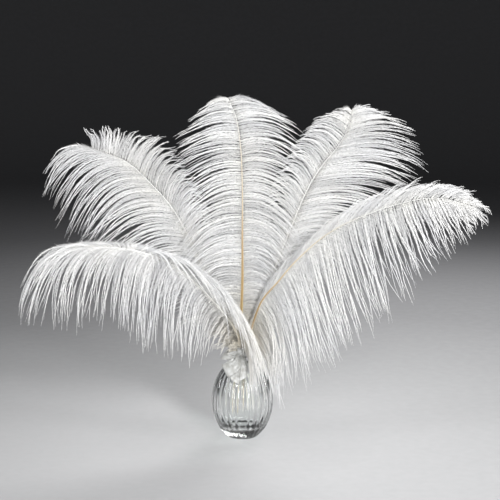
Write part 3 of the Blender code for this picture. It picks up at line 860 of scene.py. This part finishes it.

# %% [markdown]
# ## The satin ribbon
# A narrow satin ribbon is wound twice round the stems, knotted in front, and left with two loops and two
# short ends that hang in front of the vase's shoulder. A cloth simulation would have to be told every
# fold anyway, so each stretch is drawn as a strip: its middle line, and an arrow from the middle to one
# edge that turns the strip where the ribbon turns. Ripples across it, deepest near the knot, are the
# folds that the knot squeezes into the satin.

# %% The satin's finish
satin, nodes, links, surface = new_material("white_satin")
uv, along, across = uv_map(nodes, links)
here = own_place(nodes)
uneven = patches(nodes, links, here, 220.0, 0.0, 1.0)
satin_white = ramp(nodes, links, uneven, [(0.0, (0.27, 0.27, 0.252)), (1.0, (0.42, 0.425, 0.42))])
selvedge = ramp(nodes, links, across, [
    (0.0, (0.9, 0.9, 0.9)), (0.05, WHITE), (0.95, WHITE), (1.0, (0.9, 0.9, 0.9)),
])
links.new(multiplied(nodes, links, satin_white, selvedge), surface.inputs["Base Color"])
links.new(patches(nodes, links, here, 300.0, 0.28, 0.42), surface.inputs["Roughness"])
surface.inputs["Sheen Weight"].default_value = 0.25
surface.inputs["Sheen Roughness"].default_value = 0.3
bump(nodes, links, surface, lines(nodes, links, uv, 12.0, 0.6), 0.00005, 0.35)

# %% A strip's skin
RIBBON_THICKNESS = 0.3 * MM
RIBBON_COLUMNS = 13
RIBBON_CUP = 0.5 * MM  # how far the middle of a strip stands out from its edges


def strip_skin(middle, arrow, ripple, first):
    """Closed thin skin of a strip, with its faces numbered from first and its UV map in shares.

    Surface = middle + u arrow + (cup (1 - u u) + ripple sin(2.5 pi u + 5 t)) normal, with u from -1 to 1
    across and t from 0 to 1 along. Its two sides lie half a thickness in front and behind.
    """
    rows = len(middle)
    along = unit(np.gradient(middle, axis=0))
    normal = unit(np.cross(arrow, along))[:, None]
    u = np.linspace(-1.0, 1.0, RIBBON_COLUMNS)[None, :]
    t = np.linspace(0.0, 1.0, rows)[:, None]
    height = RIBBON_CUP * (1 - u**2) + ripple[:, None] * np.sin(2.5 * math.pi * u + 5.0 * t)
    surface = middle[:, None] + arrow[:, None] * u[..., None] + normal * height[..., None]
    shift = normal * RIBBON_THICKNESS / 2
    ring = np.concatenate([surface + shift, (surface - shift)[:, ::-1]], axis=1)
    columns = 2 * RIBBON_COLUMNS
    a = np.arange(RIBBON_COLUMNS - 1)
    start = np.stack([a, columns - 1 - a, columns - 2 - a, a + 1], axis=-1)
    end = np.stack([a, a + 1, columns - 2 - a, columns - 1 - a], axis=-1) + (rows - 1) * columns
    faces = np.concatenate([grid_faces(rows, columns), start, end]) + first
    v = np.concatenate([u, u[:, ::-1]], axis=1) / 2 + 0.5
    uv = np.stack(np.broadcast_arrays(t, v), axis=-1)
    return ring.reshape(-1, 3), faces, uv.reshape(-1, 2)


# %% The binding and the knot
BAND_ROWS, KNOT_ROWS = 150, 60
BAND_BOTTOM = (11.0, 108.6)  # radius and height of the binding's lower edge, millimetres
BAND_TOP = (13.2, 123.4)
BAND_CENTRE_Y = -1.0
BAND_TURNS = 1.9
BAND_LIFT = 0.45  # how much further out each turn lies than the one under it
BAND_FILLS = 0.9  # how much of the height between its two edges the binding covers
KNOT = dict(centre=(-2, -14.2, 115.5), depth=2.9, height=6.2, half_width=4.8)
print("the ribbon goes", BAND_TURNS, "times round the stems")


def band_strip():
    """A strip wound round the stems: radius grows from the cone's by a little with each turn."""
    turn = np.linspace(0.0, BAND_TURNS * 2 * math.pi, BAND_ROWS) - math.pi / 2
    lift = BAND_LIFT * (turn - turn[0]) / (2 * math.pi)
    slope = np.array([BAND_TOP[0] - BAND_BOTTOM[0], BAND_TOP[1] - BAND_BOTTOM[1]]) / 2
    radius = (BAND_TOP[0] + BAND_BOTTOM[0]) / 2 + lift
    outward = np.stack([np.cos(turn), np.sin(turn), np.zeros_like(turn)], axis=-1)
    middle = radius[:, None] * outward + [0.0, BAND_CENTRE_Y, (BAND_TOP[1] + BAND_BOTTOM[1]) / 2]
    middle[:, 2] += 0.8 * np.sin(turn * 0.7)
    arrow = outward * slope[0] * BAND_FILLS + np.array([0.0, 0.0, slope[1] * BAND_FILLS])
    ripple = 0.15 + 0.1 * np.sin(turn * 3.0)
    return middle * MM, arrow * MM, ripple * MM


def knot_strip():
    """A strip wound once over the crossing: (0, depth cos a, height sin a) round the knot's centre."""
    turn = np.linspace(-0.5, 2 * math.pi + 0.2, KNOT_ROWS)
    zero = np.zeros_like(turn)
    middle = np.stack([zero, KNOT["depth"] * np.cos(turn), KNOT["height"] * np.sin(turn)], axis=-1)
    middle = middle * (1 + 0.02 * turn[:, None]) + np.array(KNOT["centre"])
    half = KNOT["half_width"] * (1 + 0.08 * np.sin(2 * turn))
    arrow = np.stack([half, zero, 0.6 + 0.5 * np.sin(turn)], axis=-1)
    return middle * MM, arrow * MM, (0.35 + zero) * MM


# %% The loops and ends
STRIP_ROWS = 48
# Middle point, half-width arrow and depth of the ripples, all in millimetres
RIBBON_STRIPS = {
    "upper_loop": [
        ((-3.5, -15.0, 114.5), (0.4, 0.5, 3.0), 0.9), ((-10.5, -18.0, 114.4), (1.6, 1.2, 5.0), 0.7),
        ((-17.5, -18.8, 113.2), (2.6, 1.6, 5.2), 0.5), ((-23.0, -17.0, 112.0), (3.0, 1.4, 4.0), 0.3),
        ((-25.4, -13.5, 112.4), (3.0, 1.0, 3.4), 0.2), ((-22.0, -10.5, 115.6), (2.4, 0.8, 4.0), 0.3),
        ((-14.5, -10.5, 118.6), (1.0, 0.6, 4.6), 0.5), ((-4.0, -13.2, 116.5), (0.2, 0.4, 3.0), 0.7),
    ],
    "lower_loop": [
        ((-3.5, -17.0, 112.8), (-2.6, 0.6, 2.8), 0.8), ((-4.8, -24.5, 109.6), (-3.8, 2.0, 3.8), 0.5),
        ((-7.0, -29.8, 104.4), (-4.4, 3.4, 4.8), 0.3), ((-14.5, -32.4, 100.0), (-4.3, 4.0, 6.5), 0.2),
        ((-21.6, -31.6, 96.2), (-4.0, 4.0, 7.6), 0.0), ((-23.0, -29.2, 96.6), (-3.9, 4.2, 6.8), 0.0),
        ((-19.0, -27.2, 99.6), (-3.5, 4.2, 5.2), 0.1), ((-11.0, -24.2, 105.6), (-3.2, 3.2, 4.2), 0.3),
        ((-4.5, -18.4, 111.6), (-2.6, 1.0, 3.2), 0.7),
    ],
    "left_end": [
        ((-3.5, -16.2, 112.0), (3.2, 0.0, 0.8), 0.8), ((-6.0, -22.6, 109.4), (4.6, 0.2, 1.0), 0.5),
        ((-8.6, -28.6, 102.4), (5.8, 0.4, 0.8), 0.4), ((-9.6, -31.6, 94.0), (6.2, -0.4, 0.2), 0.3),
        ((-9.6, -33.4, 86.4), (6.0, -0.6, -1.2), 0.2), ((-9.2, -35.2, 81.6), (5.2, -0.6, -3.0), 0.1),
    ],
    "right_end": [
        ((-0.5, -16.2, 112.4), (2.6, 0.0, -0.3), 0.7), ((1.4, -22.4, 109.6), (3.8, 0.6, -0.2), 0.5),
        ((2.4, -27.8, 103.2), (4.6, 1.2, 0.0), 0.4), ((2.0, -31.0, 95.4), (4.8, 0.8, 0.4), 0.3),
        ((1.2, -33.0, 88.2), (4.6, 0.4, 1.2), 0.2), ((0.8, -34.0, 85.4), (4.2, 0.2, 2.2), 0.1),
    ],
}
print("drawn by hand:", list(RIBBON_STRIPS))


def drawn_strip(stations):
    """A strip through the chosen stations, in evenly long steps."""
    middles, arrows, ripples = (np.array(values, float) * MM for values in zip(*stations))
    places = even_places(middles, np.linspace(0.0, 1.0, STRIP_ROWS))
    return through(middles, places), through(arrows, places), through(ripples[:, None], places)[:, 0]


# %% The ribbon
def make_ribbon():
    """All strips in one mesh, which takes the place of the ribbon's hidden solid."""
    strips = [band_strip(), knot_strip()] + [drawn_strip(stations) for stations in RIBBON_STRIPS.values()]
    points, faces, uvs, count = [], [], [], 0
    for middle, arrow, ripple in strips:
        skin, quads, uv = strip_skin(middle, arrow, ripple, count)
        points.append(skin)
        faces.append(quads)
        uvs.append(uv)
        count += len(skin)
    points, faces, uvs = (np.concatenate(values) for values in (points, faces, uvs))
    made = mesh_object("satin_ribbon", points, faces, [], satin, uvs)
    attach(made, "root")
    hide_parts("ribbon")


make_ribbon()

# %% [markdown]
# ## The vase
# The vase is blown glass, turned like an egg and cut with upright hollow flutes that meet in sharp
# ridges. Each flute is what a wide grinding wheel takes out of the wall, so it runs out in a point where
# the wall curves away below the rim and above the foot. A turned profile with the flutes pressed into it
# as a formula gives the smooth curves that let glass bend the light. Only the light that falls on other
# things goes straight through the glass, since a renderer can't follow every bent ray to a lamp: without
# that the inside and the floor underneath would be black, with a few glaring spots.

# %% The glass
FLUTES = 24
FLUTE_DEPTH = 1.6 * MM
FLUTE_COLUMNS = 12
OUTSIDE_ROWS, INSIDE_ROWS = 130, 60
# Radius and height in millimetres, then how fully the flutes are cut there
VASE_OUTSIDE = [
    (17.5, 0.0, 0.0), (20.5, 1.5, 0.0), (25.0, 6.0, 0.35), (31.2, 14.0, 0.8), (36.8, 26.0, 1.0),
    (39.6, 37.0, 1.0), (40.3, 47.0, 1.0), (39.6, 60.0, 1.0), (36.8, 73.0, 1.0), (32.0, 84.0, 0.7),
    (26.2, 91.0, 0.2), (22.6, 95.0, 0.0), (21.2, 97.0, 0.0),
]
# Radius and height
VASE_INSIDE = [
    (18.8, 97.0), (18.6, 94.5), (22.4, 90.0), (28.6, 82.5), (33.4, 72.0), (36.2, 60.0),
    (37.0, 47.0), (36.0, 36.0), (31.0, 25.0), (24.0, 18.0), (15.0, 15.0),
]
FOOT_HOLLOW = [(1.0, 2.2), (10.0, 1.6), (15.5, 0.5)]  # radius and height of the recess under the foot

glass, nodes, links, surface = new_material("clear_glass")
here = own_place(nodes)
surface.inputs["Base Color"].default_value = (0.978, 0.988, 0.984, 1.0)
surface.inputs["IOR"].default_value = 1.52
surface.inputs["Transmission Weight"].default_value = 1.0
links.new(patches(nodes, links, here, 35.0, 0.0, 0.015), surface.inputs["Roughness"])
bump(nodes, links, surface, patches(nodes, links, here, 55.0, 0.0, 1.0), 0.0004, 0.07)
light_path = nodes.new("ShaderNodeLightPath")
clear = nodes.new("ShaderNodeBsdfTransparent")
clear.inputs["Color"].default_value = (0.90, 0.915, 0.91, 1.0)
either = nodes.new("ShaderNodeMixShader")
straight = nodes.new("ShaderNodeMath")
straight.operation = "MAXIMUM"
links.new(light_path.outputs["Is Shadow Ray"], straight.inputs[0])
links.new(light_path.outputs["Is Diffuse Ray"], straight.inputs[1])
links.new(straight.outputs["Value"], either.inputs["Fac"])
links.new(surface.outputs["BSDF"], either.inputs[1])
links.new(clear.outputs["BSDF"], either.inputs[2])
links.new(either.outputs["Shader"], nodes["Material Output"].inputs["Surface"])

# %% The vase
def turned_skin(radius, height, turn):
    """Points (r cos t, r sin t, z), with a radius and a height for each row and a turn for each column."""
    rings = np.broadcast_arrays(radius * np.cos(turn), radius * np.sin(turn), height)
    return np.stack(rings, axis=-1).reshape(-1, 3)


def make_vase():
    """Radius = profile - max(0, depth (g - (2 p - 1)^2)), with p from 0 to 1 across each flute.

    The number g from the profile is 1 where a flute is cut to its full width and 0 where there is none.
    """
    outside = through(VASE_OUTSIDE, np.linspace(0.0, 1.0, OUTSIDE_ROWS))
    inside = through(VASE_INSIDE, np.linspace(0.0, 1.0, INSIDE_ROWS))
    columns = FLUTES * FLUTE_COLUMNS
    turn = 2 * math.pi * np.arange(columns) / columns
    p = (np.arange(columns) % FLUTE_COLUMNS) / FLUTE_COLUMNS
    cut = np.clip(outside[:, 2:3], 0.0, 1.0) - (2 * p - 1)[None] ** 2
    outer_radius = outside[:, :1] * MM - FLUTE_DEPTH * np.maximum(cut, 0.0)
    plain = np.concatenate([np.array(FOOT_HOLLOW), inside])
    plain_radius = np.repeat(plain[:, :1] * MM, columns, axis=1)
    hollow = len(FOOT_HOLLOW)
    radius = np.concatenate([plain_radius[:hollow], outer_radius, plain_radius[hollow:]])
    height = np.concatenate([plain[:hollow, 1], outside[:, 1], inside[:, 1]])[:, None] * MM
    centres = np.array([[0, 0, height[0, 0]], [0, 0, height[-1, 0]]])
    made = mesh_object(
        "vase_glass", np.concatenate([turned_skin(radius, height, turn), centres]),
        grid_faces(len(radius), columns), end_fans(len(radius), columns), glass,
    )
    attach(made, "root")
    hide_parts("vase")


make_vase()

# %% [markdown]
# ## Floor and light
# White plumes need something darker behind them, so the floor carries a painted pool of light: it is pale
# round the vase and turns to a deeper grey further out, where it rises into a plain wall. It is round,
# with the camera inside it, so that the object can be looked at from every side. One soft key light from
# the front, high and to the right, shapes the barbs, a weak fill from the left opens the shadows, and a
# light from behind gives the fringes a bright edge. Two tall narrow lights at the sides draw the bright
# upright lines that show the cut of the glass.

# %% The floor
FLOOR_RADIUS = 2.6
WALL_RADIUS = 4.0  # farther away than the camera
WALL_TOP = 4.5
# The floor's painted pool of light
PALE_RADIUS = 0.2  # the floor is palest up to here
FLOOR_SIDES, FLOOR_ROWS, BEND_ROWS = 96, 12, 24

stage_finish, nodes, links, surface = new_material("studio_floor")
here = own_place(nodes)
# Painted pool of light: the floor is palest near the vase and turns nearly black further out and up the
# wall
pool_fade = fade(nodes, links, here, (0.0, 0.0, 0.0), PALE_RADIUS, FLOOR_RADIUS)
painted_pool = ramp(nodes, links, pool_fade, [
    (0.0, (0.42, 0.42, 0.425)), (0.25, (0.22, 0.22, 0.225)), (0.6, (0.09, 0.09, 0.094)),
    (1.0, (0.055, 0.055, 0.058)),
])
uneven = patches(nodes, links, here, 90.0, 0.0, 1.0)
grain = ramp(nodes, links, uneven, [(0.0, (0.97, 0.97, 0.97)), (1.0, WHITE)])
links.new(multiplied(nodes, links, painted_pool, grain), surface.inputs["Base Color"])
links.new(patches(nodes, links, here, 60.0, 0.75, 0.9), surface.inputs["Roughness"])
bump(nodes, links, surface, patches(nodes, links, here, 700.0, 0.0, 1.0), 0.0002, 0.2)


def make_floor():
    """A turned profile: flat, then a quarter circle up to the wall, then straight up."""
    bend = np.linspace(0.0, math.pi / 2, BEND_ROWS)[1:]
    rise = WALL_RADIUS - FLOOR_RADIUS
    flat = np.linspace(0.05, FLOOR_RADIUS, FLOOR_ROWS)
    r = np.concatenate([flat, FLOOR_RADIUS + rise * np.sin(bend), [WALL_RADIUS]])[:, None]
    z = np.concatenate([np.zeros(FLOOR_ROWS), rise * (1 - np.cos(bend)), [WALL_TOP]])[:, None]
    skin = turned_skin(r, z, 2 * math.pi * np.arange(FLOOR_SIDES) / FLOOR_SIDES)
    middle = fan(0, FLOOR_SIDES, len(skin))
    faces = grid_faces(len(z), FLOOR_SIDES)[:, ::-1]
    points = np.concatenate([skin, [[0.0, 0.0, 0.0]]])
    mesh_object("floor", points, faces, middle, stage_finish)


make_floor()


# %% Lights and world
LIGHTS_AIM = Vector((0.0, 0.0, 0.23))
# Place in metres, width and height in metres, and power in watts
LIGHTS = {
    "key": ((0.6, -1.6, 0.95), (0.3, 0.45), 45),
    "fill": ((-0.6, -1.7, 0.5), (0.5, 0.8), 12),
    "back": ((0.6, 1.2, 1.1), (0.6, 0.6), 22),
    "left_strip": ((-1.1, -0.5, 0.6), (0.12, 0.8), 6),
    "right_strip": ((1.1, -0.5, 0.6), (0.12, 0.8), 6),
}
WORLD_COLOUR, WORLD_STRENGTH = (0.93, 0.96, 1.0, 1.0), 0.18


def area_light(name, location, size, power):
    """A soft light of width by height that looks at the middle of the plumes."""
    data = bpy.data.lights.new(name, "AREA")
    data.shape = "RECTANGLE"
    data.size, data.size_y = size
    data.energy = power
    made = bpy.data.objects.new(name, data)
    made.visible_camera = False
    made.location = location
    made.rotation_euler = (Vector(location) - LIGHTS_AIM).to_track_quat("Z", "Y").to_euler()
    bpy.context.collection.objects.link(made)
    print("light", name, power, "W")


for name, (location, size, power) in LIGHTS.items():
    area_light(name, location, size, power)
world = bpy.data.worlds.new("studio")
bpy.context.scene.world = world
world.use_nodes = True
background = world.node_tree.nodes["Background"]
background.inputs["Color"].default_value = WORLD_COLOUR
background.inputs["Strength"].default_value = WORLD_STRENGTH
bpy.context.scene.view_settings.view_transform = "Standard"
